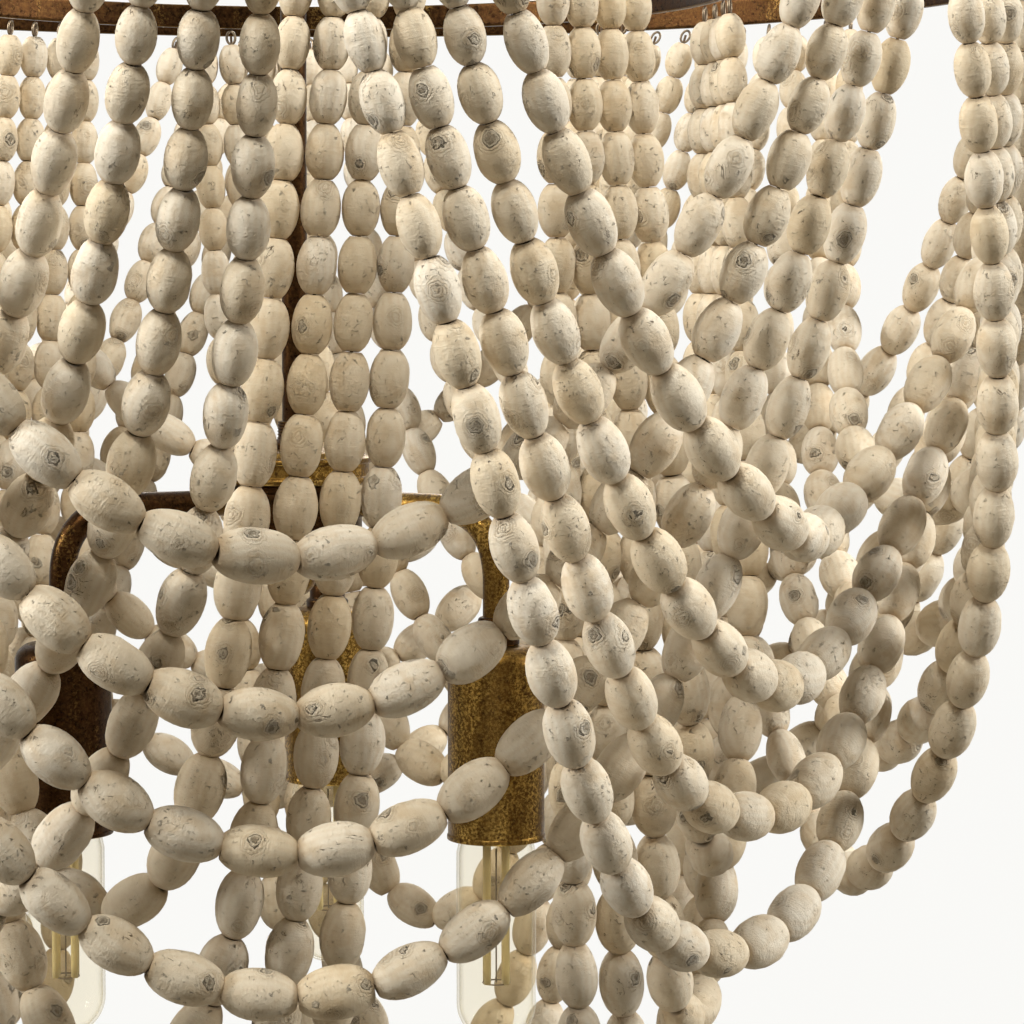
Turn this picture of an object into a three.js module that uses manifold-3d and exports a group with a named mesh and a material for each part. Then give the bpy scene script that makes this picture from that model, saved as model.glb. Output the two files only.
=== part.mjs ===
// A beaded chandelier: a brass candelabra of three down-facing tube lamps on a stem,
// and a welded two-ring frame whose wooden bead strands hang as nested, crossing swags.
// Millimetres, +Z up. The origin is the middle of the top face that lies on the ceiling.
// The photographed side faces -Y. Angles run from -Y towards +X.

import * as THREE from "three";
import { mergeVertices } from "three/addons/utils/BufferGeometryUtils.js";
import Module from "manifold-3d";

const wasm = await Module();
wasm.setup();

// Driving dimensions

const seatGap = 0.3; // between pieces that touch
const threadGap = 0.5; // round a piece that is screwed in

const bar = { end: 7.55, width: 20, thickness: 2.5, screwSpacing: 88.9 };
const boxScrew = { shankRadius: 2, headRadius: 4, headHeight: 2.5, tipOut: 1.5 };
const canopy = { radius: 65, height: 28, wall: 1.5, shoulder: 9, crownRadius: 18, crownRise: 4 };
const nipple = { radius: 4.8, below: 9 };
const canopyNut = { radius: 11, height: 13, neckRadius: 6 };
const eye = { radius: 9, wire: 2.2, overlap: 1.2 };
const link = { halfWidth: 8, straight: 14, wire: 2, gap: 0.5 };
const linkCount = 3;

const stemNut = { radius: 9, height: 13, neckRadius: 6 };
const stem = { radius: 5, wall: 1, aboveRing: 62, ringToHub: 184 };
const frameCollar = { radius: 13, height: 14, weld: 2 };
const spoke = { radius: 3, count: 4 };
const outerRing = { radius: 300, height: 12, thickness: 3 };
const innerRing = { radius: 170, height: 10, thickness: 3 };

const stemCollar = { radius: 8.5, height: 11, waist: 1.6 };
const hubCap = { radius: 30, height: 13, bead: 2, topRadius: 26 };
const hubBody = { radius: 26, height: 24, taper: 4 };
const finial = { plateRadius: 12, plateHeight: 4, ballRadius: 8, neckRadius: 5, tipRadius: 2.5 };

const arm = { count: 3, firstAngle: -68, radius: 5, bend: 28, belowHubTop: 20 };
const lampClearance = 15.3; // between a socket cup and the bead loops round it
const socketDrop = 71; // from the top of the hub cap to the top of the socket cup
const socketNut = { radius: 9, height: 11 };
const cup = { radius: 18.5, height: 73, wall: 1.5, shoulder: 7 };
const lampholder = { radius: 16, height: 42, head: 8, shoulder: 7 };
const bulbBase = { radius: 13, height: 26, contactRadius: 5, contactHeight: 2.5 };
const bulbGlass = { radius: 15, neckRadius: 12.4, wall: 1, length: 114, neckLength: 30, shoulder: 12 };
const mountStem = { radius: 3, length: 40 };
const filament = { wire: 0.5, root: 1.3, spread: 6.5, flare: 9, bend: 4, length: 96, stagger: 6, count: 2 };

// Bead strands. Every set of swags is centred on one of the hanging points and spans its two
// neighbours. A set's left legs lean out and its right legs lean in, so that sets cross.
// The inner loops hang straight, beside each other.
const hangingPoints = 8;
const strandHook = { radius: 1.2, length: 7, gap: 0.65 };
const bead = { endRadius: 5.9, middleRadius: 8.75, endLength: 17, middleLength: 25.5 };
const neckShare = 0.42; // of the bead's radius, where two beads meet
const growthShare = 0.8; // how soon the beads grow from a strand's ends to its middle
const swagSides = { belly: 4, neck: 3 };
const upperSwag = { halfSpan: 34.5, drop: 207, lean: 16.5, leanShare: 0.73 };
const lowerSwag = { halfSpan: 43.5, drop: 353, lean: 26, leanShare: 1.91 };
const innerLoop = { count: 4, halfSpan: 36, drop: 520, lean: 0, leanShare: 1 };

// Facet counts
const facets = { canopy: 16, ring: 36, innerRing: 24, hub: 16, cup: 12, glass: 10, small: 8, nut: 6, wire: 5, thin: 4 };
const linkSteps = 5; // along each half turn of a chain link
const armSteps = 12;
const armSides = 6;
const curveSteps = 3; // along a quarter round in a profile

// Levels, from the ceiling down

const canopyBottom = -canopy.height - canopy.crownRise;
const canopyNutTop = canopyBottom - seatGap;
const canopyNutBottom = canopyNutTop - canopyNut.height;
const canopyEyeCentre = canopyNutBottom + eye.overlap - eye.radius - eye.wire;
const canopyEyeFoot = canopyEyeCentre - eye.radius;
const linkLength = link.straight + 2 * link.halfWidth;
const linkSeat = 2 * link.wire + link.gap;
const eyeSeat = eye.wire + link.wire + link.gap;

// The heights of the wire centres that the links turn about, the canopy's eye first.
const pivots = [canopyEyeFoot];
for (let i = 0; i < linkCount; i++) {
  pivots.push(pivots[i] + (i === 0 ? eyeSeat : linkSeat) - linkLength);
}
const stemEyeTop = pivots[linkCount] + eyeSeat;
const stemEyeCentre = stemEyeTop - eye.radius;
const stemNutTop = stemEyeCentre - eye.radius - eye.wire + eye.overlap;
const stemNutBottom = stemNutTop - stemNut.height;
const stemTop = stemNutBottom - seatGap;
const ringLevel = stemTop - stem.aboveRing; // the lower edge of the outer ring
const hubTop = ringLevel - stem.ringToHub;
const hubCapBottom = hubTop - hubCap.height;
const hubBodyTop = hubCapBottom - seatGap;
const hubBodyBottom = hubBodyTop - hubBody.height;
const armLevel = hubTop - arm.belowHubTop;
const cupTop = hubTop - socketDrop;
const lampholderTop = cupTop - cup.wall - seatGap;
const baseTop = lampholderTop - lampholder.head - seatGap;
const glassTop = baseTop - bulbBase.height - seatGap;

// Materials

const finish = (color, roughness, metalness, more = {}) =>
  new THREE.MeshStandardMaterial({ color, roughness, metalness, ...more });
const agedBrass = finish(0x8a6a35, 0.42, 1);
const darkBrass = finish(0x4b351d, 0.5, 1);
const steel = finish(0x9c9a94, 0.45, 1);
const bleachedWood = finish(0xe6dccb, 0.85, 0);
const clearGlass = finish(0xf6efdd, 0.05, 0, { transparent: true, opacity: 0.3 });
const wireMetal = finish(0xb98f45, 0.4, 1);
const blackPhenolic = finish(0x2a2522, 0.6, 0);

const chandelier = new THREE.Group();
chandelier.name = "beaded_chandelier";

function addPiece(name, geometry, material, parent = chandelier) {
  const mesh = new THREE.Mesh(geometry, material);
  mesh.name = name;
  parent.add(mesh);
  return mesh;
}

// Geometry helpers

const radians = THREE.MathUtils.degToRad;

// The direction in the horizontal plane at an angle from -Y towards +X.
function outward(angle) {
  return new THREE.Vector3(Math.sin(angle), -Math.cos(angle), 0);
}

// A body of revolution about Z from [radius, height] pairs, up the outside and down the inside.
function turned(profile, segments) {
  const points = profile.map(([radius, height]) => new THREE.Vector2(radius, height));
  return new THREE.LatheGeometry(points, segments).rotateX(Math.PI / 2);
}

// The corner radius of a faceted bore that clears a shaft all round by a gap.
function boreRadius(shaftRadius, gap, segments) {
  return (shaftRadius + gap) / Math.cos(Math.PI / segments);
}

// A ring of revolution, whose profile closes on itself.
function turnedRing(profile, segments) {
  return turned([...profile, profile[0]], segments);
}

// Points on a quarter round from one angle to another, as [radius, height] pairs.
function arcPoints(centreRadius, centreHeight, radius, fromAngle, toAngle) {
  const points = [];
  for (let i = 0; i <= curveSteps; i++) {
    const angle = fromAngle + ((toAngle - fromAngle) * i) / curveSteps;
    points.push([centreRadius + radius * Math.cos(angle), centreHeight + radius * Math.sin(angle)]);
  }
  return points;
}

// Joins two neighbouring rings of points, which may have different numbers of points.
function joinRings(faces, near, far) {
  let i = 0;
  let j = 0;
  while (i < near.count || j < far.count) {
    const nearNext = (i + 1) / near.count;
    const farNext = (j + 1) / far.count;
    const nearA = near.start + (i % near.count);
    const farA = far.start + (j % far.count);
    if (i < near.count && (j >= far.count || nearNext <= farNext)) {
      faces.push(nearA, near.start + ((i + 1) % near.count), farA);
      i++;
    } else {
      faces.push(nearA, far.start + ((j + 1) % far.count), farA);
      j++;
    }
  }
}

// A tube through stations of {point, radius, sides}. It is closed into a loop, or capped.
function tube(stations, reference, isLoop = false) {
  const positions = [];
  const faces = [];
  const rings = [];
  const last = stations.length - 1;
  stations.forEach(({ point, radius, sides }, index) => {
    const before = stations[isLoop ? (index + last) % (last + 1) : Math.max(index - 1, 0)].point;
    const after = stations[isLoop ? (index + 1) % (last + 1) : Math.min(index + 1, last)].point;
    const along = after.clone().sub(before).normalize();
    const side = reference.clone().addScaledVector(along, -reference.dot(along)).normalize();
    const other = along.clone().cross(side);
    rings.push({ start: positions.length / 3, count: sides });
    for (let k = 0; k < sides; k++) {
      const turn = (2 * Math.PI * k) / sides;
      const corner = point
        .clone()
        .addScaledVector(side, radius * Math.cos(turn))
        .addScaledVector(other, radius * Math.sin(turn));
      positions.push(corner.x, corner.y, corner.z);
    }
  });
  for (let index = 0; index < last; index++) {
    joinRings(faces, rings[index], rings[index + 1]);
  }
  if (isLoop) {
    joinRings(faces, rings[last], rings[0]);
  } else {
    const { start: tail, count: tailCount } = rings[last];
    for (let k = 1; k < rings[0].count - 1; k++) {
      faces.push(0, k + 1, k);
    }
    for (let k = 1; k < tailCount - 1; k++) {
      faces.push(tail, tail + k, tail + k + 1);
    }
  }
  const geometry = new THREE.BufferGeometry();
  geometry.setAttribute("position", new THREE.Float32BufferAttribute(positions, 3));
  geometry.setIndex(faces);
  geometry.computeVertexNormals();
  return geometry;
}

// Solid modelling: a geometry to a solid, and a solid back to a geometry.
function toSolid(geometry) {
  const bare = geometry.clone();
  bare.deleteAttribute("normal");
  bare.deleteAttribute("uv");
  const merged = mergeVertices(bare);
  return new wasm.Manifold(
    new wasm.Mesh({
      numProp: 3,
      vertProperties: new Float32Array(merged.attributes.position.array),
      triVerts: new Uint32Array(merged.index.array),
    }),
  );
}

function toGeometry(solid) {
  const { vertProperties, triVerts } = solid.getMesh();
  const geometry = new THREE.BufferGeometry();
  geometry.setAttribute("position", new THREE.BufferAttribute(vertProperties, 3));
  geometry.setIndex(new THREE.BufferAttribute(triVerts, 1));
  geometry.computeVertexNormals();
  return geometry;
}

function joined(first, ...others) {
  let solid = toSolid(first);
  for (const other of others) {
    solid = solid.add(toSolid(other));
  }
  return toGeometry(solid);
}

function cutBy(base, ...cutters) {
  let solid = toSolid(base);
  for (const cutter of cutters) {
    solid = solid.subtract(toSolid(cutter));
  }
  return toGeometry(solid);
}

// A plain upright cylinder between two heights.
function post(radius, bottom, top, segments, x = 0) {
  return turned([[0, bottom], [radius, bottom], [radius, top], [0, top]], segments).translate(x, 0, 0);
}

// Ceiling bar: a flat strap with two screw holes

function ceilingBar() {
  const length = bar.screwSpacing + 2 * bar.end;
  const strap = new THREE.BoxGeometry(length, bar.width, bar.thickness);
  strap.translate(0, 0, -bar.thickness / 2);
  const holes = [-1, 1].map((side) =>
    post(
      boreRadius(boxScrew.shankRadius, seatGap, facets.small),
      -2 * bar.thickness,
      bar.thickness,
      facets.small,
      (side * bar.screwSpacing) / 2,
    ),
  );
  return cutBy(strap, ...holes);
}

addPiece("mounting_bar", ceilingBar(), steel);

for (const side of [-1, 1]) {
  const headTop = -bar.thickness - seatGap;
  const screw = turned(
    [
      [0, headTop - boxScrew.headHeight],
      [boxScrew.headRadius, headTop - boxScrew.headHeight],
      [boxScrew.headRadius, headTop],
      [boxScrew.shankRadius, headTop],
      [boxScrew.shankRadius, -bar.thickness + boxScrew.tipOut],
      [0, -bar.thickness + boxScrew.tipOut],
    ],
    facets.small,
  );
  screw.translate((side * bar.screwSpacing) / 2, 0, 0);
  addPiece(`box_screw_${side < 0 ? "left" : "right"}`, screw, steel);
}

// Canopy: a spun cap, open towards the ceiling, with a raised crown round its centre hole

const canopyHole = boreRadius(nipple.radius, seatGap, facets.canopy);
const canopyShoulderCentre = canopy.radius - canopy.shoulder;
const canopyFloor = -canopy.height;
addPiece(
  "canopy",
  turnedRing(
    [
      [canopyHole, canopyBottom],
      [canopy.crownRadius - canopy.crownRise, canopyBottom],
      [canopy.crownRadius, canopyFloor],
      ...arcPoints(canopyShoulderCentre, canopyFloor + canopy.shoulder, canopy.shoulder, -Math.PI / 2, 0),
      [canopy.radius, 0],
      [canopy.radius - canopy.wall, 0],
      [canopy.radius - canopy.wall, canopyFloor + canopy.shoulder],
      [canopyShoulderCentre, canopyFloor + canopy.wall],
      [canopy.crownRadius + canopy.wall, canopyFloor + canopy.wall],
      [canopy.crownRadius - canopy.crownRise, canopyBottom + canopy.wall],
      [canopyHole, canopyBottom + canopy.wall],
    ],
    facets.canopy,
  ),
  darkBrass,
);

// Threaded nipple: it joins the bar to the canopy's screw eye

const nippleTop = -bar.thickness - seatGap;
const nippleFoot = canopyNutTop - nipple.below;
addPiece("threaded_nipple", post(nipple.radius, nippleFoot, nippleTop, facets.small), steel);

// Screw eyes: a turned nut with a wire ring. The canopy's hangs below its nut, the stem's stands above.

const eyeRing = (centre) =>
  new THREE.TorusGeometry(eye.radius, eye.wire, facets.wire, 2 * facets.nut)
    .rotateX(Math.PI / 2)
    .translate(0, 0, centre);

const nippleHole = boreRadius(nipple.radius, threadGap, facets.small);
addPiece(
  "canopy_screw_eye",
  joined(
    turned(
      [
        [0, canopyNutBottom],
        [canopyNut.neckRadius, canopyNutBottom],
        [canopyNut.radius, canopyNutBottom + canopyNut.height / 3],
        [canopyNut.radius, canopyNutTop],
        [nippleHole, canopyNutTop],
        [nippleHole, nippleFoot - seatGap],
        [0, nippleFoot - seatGap],
      ],
      facets.small,
    ),
    eyeRing(canopyEyeCentre),
  ),
  darkBrass,
);

addPiece(
  "stem_screw_eye",
  joined(
    turned(
      [
        [0, stemNutBottom],
        [stemNut.radius, stemNutBottom],
        [stemNut.radius, stemNutTop - stemNut.height / 3],
        [stemNut.neckRadius, stemNutTop],
        [0, stemNutTop],
      ],
      facets.small,
    ),
    eyeRing(stemEyeCentre),
  ),
  agedBrass,
);

// Chain links: oval wire rings, each turned a quarter from the one above

function chainLink(topCentre, acrossX) {
  const stations = [];
  const across = acrossX ? new THREE.Vector3(1, 0, 0) : new THREE.Vector3(0, 1, 0);
  const reference = acrossX ? new THREE.Vector3(0, 1, 0) : new THREE.Vector3(1, 0, 0);
  const upperCentre = topCentre - link.halfWidth;
  for (const half of [0, 1]) {
    for (let i = 0; i <= linkSteps; i++) {
      const turn = Math.PI * (half + i / linkSteps);
      const height = upperCentre - half * link.straight + link.halfWidth * Math.sin(turn);
      const point = across.clone().multiplyScalar(link.halfWidth * Math.cos(turn));
      stations.push({ point: point.setZ(height), radius: link.wire, sides: facets.wire });
    }
  }
  return tube(stations, reference, true);
}

for (let i = 0; i < linkCount; i++) {
  const topCentre = pivots[i] + (i === 0 ? eyeSeat : linkSeat);
  addPiece(`chain_link_${i + 1}`, chainLink(topCentre, i % 2 === 1), darkBrass);
}

// Stem: a tube from the screw eye down into the hub

const stemFoot = hubBodyBottom;
addPiece(
  "stem",
  turnedRing(
    [
      [stem.radius - stem.wall, stemFoot],
      [stem.radius, stemFoot],
      [stem.radius, stemTop],
      [stem.radius - stem.wall, stemTop],
    ],
    facets.small,
  ),
  agedBrass,
);

const stemHole = boreRadius(stem.radius, seatGap, facets.small);

// Swag frame: a collar on the stem with four spokes welded to it, and two flat hoops

const collarBottom = ringLevel + (outerRing.height - frameCollar.height) / 2;
const spokeLevel = ringLevel + outerRing.height / 2;

function frameSpider() {
  const collar = turnedRing(
    [
      [stemHole, collarBottom],
      [frameCollar.radius, collarBottom],
      [frameCollar.radius, collarBottom + frameCollar.height],
      [stemHole, collarBottom + frameCollar.height],
    ],
    2 * facets.nut,
  );
  const from = frameCollar.radius - frameCollar.weld;
  const to = outerRing.radius - outerRing.thickness / 2 - seatGap;
  const spokes = Array.from({ length: spoke.count }, (_, i) =>
    new THREE.CylinderGeometry(spoke.radius, spoke.radius, to - from, facets.nut)
      .translate(0, -(from + to) / 2, 0)
      .rotateZ((2 * Math.PI * i) / spoke.count)
      .translate(0, 0, spokeLevel),
  );
  return joined(collar, ...spokes);
}

addPiece("frame_spider", frameSpider(), agedBrass);

const hoop = (size, bottom, segments) =>
  turnedRing(
    [
      [size.radius - size.thickness / 2, bottom],
      [size.radius + size.thickness / 2, bottom],
      [size.radius + size.thickness / 2, bottom + size.height],
      [size.radius - size.thickness / 2, bottom + size.height],
    ],
    segments,
  );

const innerRingBottom = spokeLevel - spoke.radius - seatGap - innerRing.height;
addPiece("outer_ring", hoop(outerRing, ringLevel, facets.ring), agedBrass);
addPiece("inner_ring", hoop(innerRing, innerRingBottom, facets.innerRing), agedBrass);

// Hub: a dark collar on the stem, a turned cap, the body that carries the arms, and the finial

const stemCollarBottom = hubTop + seatGap;
addPiece(
  "stem_collar",
  turnedRing(
    [
      [stemHole, stemCollarBottom],
      [stemCollar.radius, stemCollarBottom],
      [stemCollar.radius - stemCollar.waist, stemCollarBottom + stemCollar.height / 2],
      [stemCollar.radius - stemCollar.waist, stemCollarBottom + stemCollar.height],
      [stemHole, stemCollarBottom + stemCollar.height],
    ],
    facets.small,
  ),
  darkBrass,
);

addPiece(
  "hub_cap",
  turnedRing(
    [
      [stemHole, hubCapBottom],
      [hubCap.radius - hubCap.bead, hubCapBottom],
      [hubCap.radius, hubCapBottom + hubCap.bead],
      [hubCap.radius, hubTop - 2 * hubCap.bead],
      [hubCap.topRadius, hubTop],
      [stemHole, hubTop],
    ],
    facets.hub,
  ),
  agedBrass,
);

addPiece(
  "hub_body",
  turnedRing(
    [
      [stemHole, hubBodyBottom],
      [hubBody.radius - hubBody.taper, hubBodyBottom],
      [hubBody.radius, hubBodyBottom + hubBody.taper],
      [hubBody.radius, hubBodyTop],
      [stemHole, hubBodyTop],
    ],
    facets.hub,
  ),
  darkBrass,
);

const finialTop = hubBodyBottom - seatGap;
const finialPlateBottom = finialTop - finial.plateHeight;
const finialBall = finialPlateBottom - finial.ballRadius;
addPiece(
  "bottom_finial",
  turned(
    [
      [0, finialBall - finial.ballRadius - finial.tipRadius],
      [finial.tipRadius, finialBall - finial.ballRadius],
      [finial.ballRadius, finialBall],
      [finial.neckRadius, finialPlateBottom],
      [finial.plateRadius, finialPlateBottom],
      [finial.plateRadius, finialTop],
      [0, finialTop],
    ],
    facets.small,
  ),
  agedBrass,
);

// Arm: a tube out of the hub's side, level, then bent down through the socket's nut

class ArmPath extends THREE.CurvePath {
  constructor() {
    super();
    const start = hubBody.radius + seatGap;
    const corner = new THREE.Vector3(armReach, 0, armLevel);
    const bendStart = new THREE.Vector3(armReach - arm.bend, 0, armLevel);
    const bendEnd = new THREE.Vector3(armReach, 0, armLevel - arm.bend);
    this.add(new THREE.LineCurve3(new THREE.Vector3(start, 0, armLevel), bendStart));
    this.add(new THREE.QuadraticBezierCurve3(bendStart, corner, bendEnd));
    this.add(new THREE.LineCurve3(bendEnd, new THREE.Vector3(armReach, 0, armFoot)));
  }
}

const loopDistance = innerRing.radius * Math.cos(radians(innerLoop.halfSpan)) - innerLoop.lean;
const armReach = loopDistance - bead.middleRadius - lampClearance - cup.radius;
const armFoot = lampholderTop + seatGap;
const armSection = new THREE.Shape();
for (let i = 0; i < armSides; i++) {
  const turn = (2 * Math.PI * i) / armSides;
  const place = [arm.radius * Math.cos(turn), arm.radius * Math.sin(turn)];
  if (i === 0) {
    armSection.moveTo(...place);
  } else {
    armSection.lineTo(...place);
  }
}
armSection.closePath();

// Lamp profiles, about the lamp's own upright axis

const armHole = boreRadius(arm.radius, seatGap, facets.cup);
const nutHole = boreRadius(arm.radius, seatGap, facets.nut);
const cupInner = cup.radius - cup.wall;
const cupShoulder = cupTop - cup.shoulder;
const cupProfile = [
  [armHole, cupTop - cup.wall],
  [cupInner - cup.shoulder, cupTop - cup.wall],
  [cupInner, cupShoulder - cup.wall],
  [cupInner, cupTop - cup.height],
  [cup.radius, cupTop - cup.height],
  ...arcPoints(cup.radius - cup.shoulder, cupShoulder, cup.shoulder, 0, Math.PI / 2),
  [armHole, cupTop],
];

const holderBore = boreRadius(bulbBase.radius, threadGap, facets.small);
const holderFoot = lampholderTop - lampholder.height;
const holderProfile = [
  [0, lampholderTop - lampholder.head],
  [holderBore, lampholderTop - lampholder.head],
  [holderBore, holderFoot],
  [lampholder.radius, holderFoot],
  [lampholder.radius, lampholderTop - lampholder.shoulder],
  [lampholder.radius - lampholder.shoulder, lampholderTop],
  [0, lampholderTop],
];

const shellTop = baseTop - bulbBase.contactHeight;
const baseBottom = baseTop - bulbBase.height;
const baseProfile = [
  [0, baseBottom],
  [bulbBase.radius, baseBottom],
  [bulbBase.radius, shellTop - bulbBase.contactHeight],
  [bulbBase.contactRadius, shellTop],
  [bulbBase.contactRadius, baseTop],
  [0, baseTop],
];

const glassTip = glassTop - bulbGlass.length;
const glassDome = glassTip + bulbGlass.radius;
const glassInner = bulbGlass.radius - bulbGlass.wall;
const neckInner = bulbGlass.neckRadius - bulbGlass.wall;
const neckFoot = glassTop - bulbGlass.neckLength;
const glassProfile = [
  ...arcPoints(0, glassDome, bulbGlass.radius, -Math.PI / 2, 0),
  [bulbGlass.radius, neckFoot - bulbGlass.shoulder],
  [bulbGlass.neckRadius, neckFoot],
  [bulbGlass.neckRadius, glassTop],
  [neckInner, glassTop],
  [neckInner, neckFoot],
  [glassInner, neckFoot - bulbGlass.shoulder],
  ...arcPoints(0, glassDome, glassInner, 0, -Math.PI / 2),
];

// The glass mount stem that stands on the base, and the wire hairpins that hang from its foot.
function hairpin(index) {
  const turn = (Math.PI * index) / filament.count;
  const side = outward(turn);
  const stemFootLevel = glassTop - mountStem.length;
  const low = glassTop - filament.length + index * filament.stagger;
  const leg = [
    [filament.root, stemFootLevel + mountStem.radius],
    [filament.root, stemFootLevel - mountStem.radius],
    [filament.spread, stemFootLevel - filament.flare],
    [filament.spread, low + filament.bend],
    [filament.spread / 2, low],
  ];
  const places = [...leg, ...leg.map(([reach, height]) => [-reach, height]).reverse()];
  const stations = places.map(([reach, height]) => ({
    point: side.clone().multiplyScalar(reach).setZ(height),
    radius: filament.wire,
    sides: facets.thin,
  }));
  return tube(stations, outward(turn + Math.PI / 2));
}

function bulbFilament() {
  const foot = glassTop - mountStem.length;
  const hairpins = Array.from({ length: filament.count }, (_, i) => hairpin(i));
  return joined(post(mountStem.radius, foot, glassTop, facets.nut), ...hairpins);
}

const lampGeometry = {
  cup: turnedRing(cupProfile, facets.cup),
  holder: turned(holderProfile, facets.small),
  base: turned(baseProfile, facets.small),
  glass: turned(glassProfile, facets.glass),
  filament: bulbFilament(),
  arm: new THREE.ExtrudeGeometry(armSection, {
    steps: armSteps,
    extrudePath: new ArmPath(),
    bevelEnabled: false,
  }),
  nut: turnedRing(
    [
      [nutHole, cupTop + seatGap],
      [socketNut.radius, cupTop + seatGap],
      [socketNut.radius, cupTop + socketNut.height],
      [nutHole, cupTop + socketNut.height],
    ],
    facets.nut,
  ),
};

for (let i = 0; i < arm.count; i++) {
  const angle = radians(arm.firstAngle + (360 * i) / arm.count);
  const branch = new THREE.Group();
  branch.rotation.z = angle - Math.PI / 2;
  chandelier.add(branch);
  addPiece(`arm_${i + 1}`, lampGeometry.arm, agedBrass, branch);
  const lamp = new THREE.Group();
  lamp.position.x = armReach;
  branch.add(lamp);
  addPiece(`socket_nut_${i + 1}`, lampGeometry.nut, darkBrass, lamp);
  addPiece(`socket_cup_${i + 1}`, lampGeometry.cup, agedBrass, lamp);
  addPiece(`lampholder_${i + 1}`, lampGeometry.holder, blackPhenolic, lamp);
  addPiece(`bulb_base_${i + 1}`, lampGeometry.base, wireMetal, lamp);
  addPiece(`bulb_glass_${i + 1}`, lampGeometry.glass, clearGlass, lamp);
  addPiece(`bulb_filament_${i + 1}`, lampGeometry.filament, wireMetal, lamp);
}

// Bead strands

// The catenary's own length for a half span and a drop, found by halving between two bounds.
const searchSpan = 50;
const searchSteps = 60;

function catenaryScale(halfSpan, drop) {
  let low = halfSpan / searchSpan;
  let high = halfSpan * searchSpan;
  for (let i = 0; i < searchSteps; i++) {
    const middle = Math.sqrt(low * high);
    if (middle * (Math.cosh(halfSpan / middle) - 1) > drop) {
      low = middle;
    } else {
      high = middle;
    }
  }
  return high;
}

// A function from the length along a strand, 0 at its middle, to its place in space.
function strandPath(ringRadius, topLevel, size, centreAngle) {
  const halfChord = ringRadius * Math.sin(radians(size.halfSpan));
  const chordDistance = ringRadius * Math.cos(radians(size.halfSpan));
  const scale = catenaryScale(halfChord, size.drop);
  const halfLength = scale * Math.sinh(halfChord / scale);
  const out = outward(centreAngle);
  const across = new THREE.Vector3(-out.y, out.x, 0);
  const at = (length) => {
    const side = scale * Math.asinh(length / scale);
    const share = Math.min(Math.abs(side) / halfChord, 1);
    const lean = -size.lean * Math.sign(side) * Math.sin(Math.PI * share ** size.leanShare);
    const point = out.clone().multiplyScalar(chordDistance + lean).addScaledVector(across, side);
    point.z = topLevel - size.drop + scale * (Math.cosh(side / scale) - 1);
    return point;
  };
  return { at, halfLength, out };
}

// Beads that grow from the ends to the middle, sized so that they fill the strand.
function beadPlan(halfLength) {
  const fill = halfLength - strandHook.length;
  const lengths = [];
  let used = 0;
  while (used < fill) {
    const share = Math.min(used / fill, 1);
    const length = bead.middleLength + (bead.endLength - bead.middleLength) * share ** (1 / growthShare);
    lengths.push(length);
    used += length;
  }
  const stretch = fill / used;
  let from = 0;
  return lengths.map((length) => {
    const plan = { from, middle: from + (length * stretch) / 2, to: from + length * stretch };
    from = plan.to;
    return plan;
  });
}

function beadRadius(share) {
  return bead.middleRadius + (bead.endRadius - bead.middleRadius) * share ** (1 / growthShare);
}

// One strand: a hook wire at each end, and a chain of beads that narrow to necks where they meet.
function beadStrand(ringRadius, topLevel, size, centreAngle) {
  const { at, halfLength, out } = strandPath(ringRadius, topLevel, size, centreAngle);
  const half = beadPlan(halfLength);
  const fill = halfLength - strandHook.length;
  const neck = (length) => ({
    point: at(length),
    radius: neckShare * beadRadius(Math.abs(length) / fill),
    sides: swagSides.neck,
  });
  const belly = ({ middle }, sign) => ({
    point: at(sign * middle),
    radius: beadRadius(middle / fill),
    sides: swagSides.belly,
  });
  const hook = (sign) => ({
    point: at(sign * (halfLength - strandHook.gap)),
    radius: strandHook.radius,
    sides: swagSides.neck,
  });
  const right = half.flatMap((one) => [belly(one, 1), neck(one.to)]);
  const left = half.flatMap((one) => [belly(one, -1), neck(-one.to)]).reverse();
  return tube([hook(-1), ...left, neck(0), ...right, hook(1)], out);
}

const pitch = (2 * Math.PI) / hangingPoints;
for (let i = 0; i < hangingPoints; i++) {
  addPiece(
    `swag_upper_${i + 1}`,
    beadStrand(outerRing.radius, ringLevel, upperSwag, pitch * i),
    bleachedWood,
  );
  addPiece(
    `swag_lower_${i + 1}`,
    beadStrand(outerRing.radius, ringLevel, lowerSwag, pitch * i),
    bleachedWood,
  );
}

// The deep loops hang from the inner hoop, turned half a pitch back from the swags.
for (let i = 0; i < innerLoop.count; i++) {
  const centre = (2 * Math.PI * i) / innerLoop.count - pitch / 2;
  addPiece(
    `inner_loop_${i + 1}`,
    beadStrand(innerRing.radius, innerRingBottom, innerLoop, centre),
    bleachedWood,
  );
}

export default chandelier;
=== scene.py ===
"""A beaded chandelier: whitewashed wooden beads on threads, hung in crossing swags from
a two-hoop brass frame, round a candelabra of three down-facing tube lamps.
Metres, +Z up. The photographed side faces -Y. Angles run from -Y towards +X."""

import math

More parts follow.
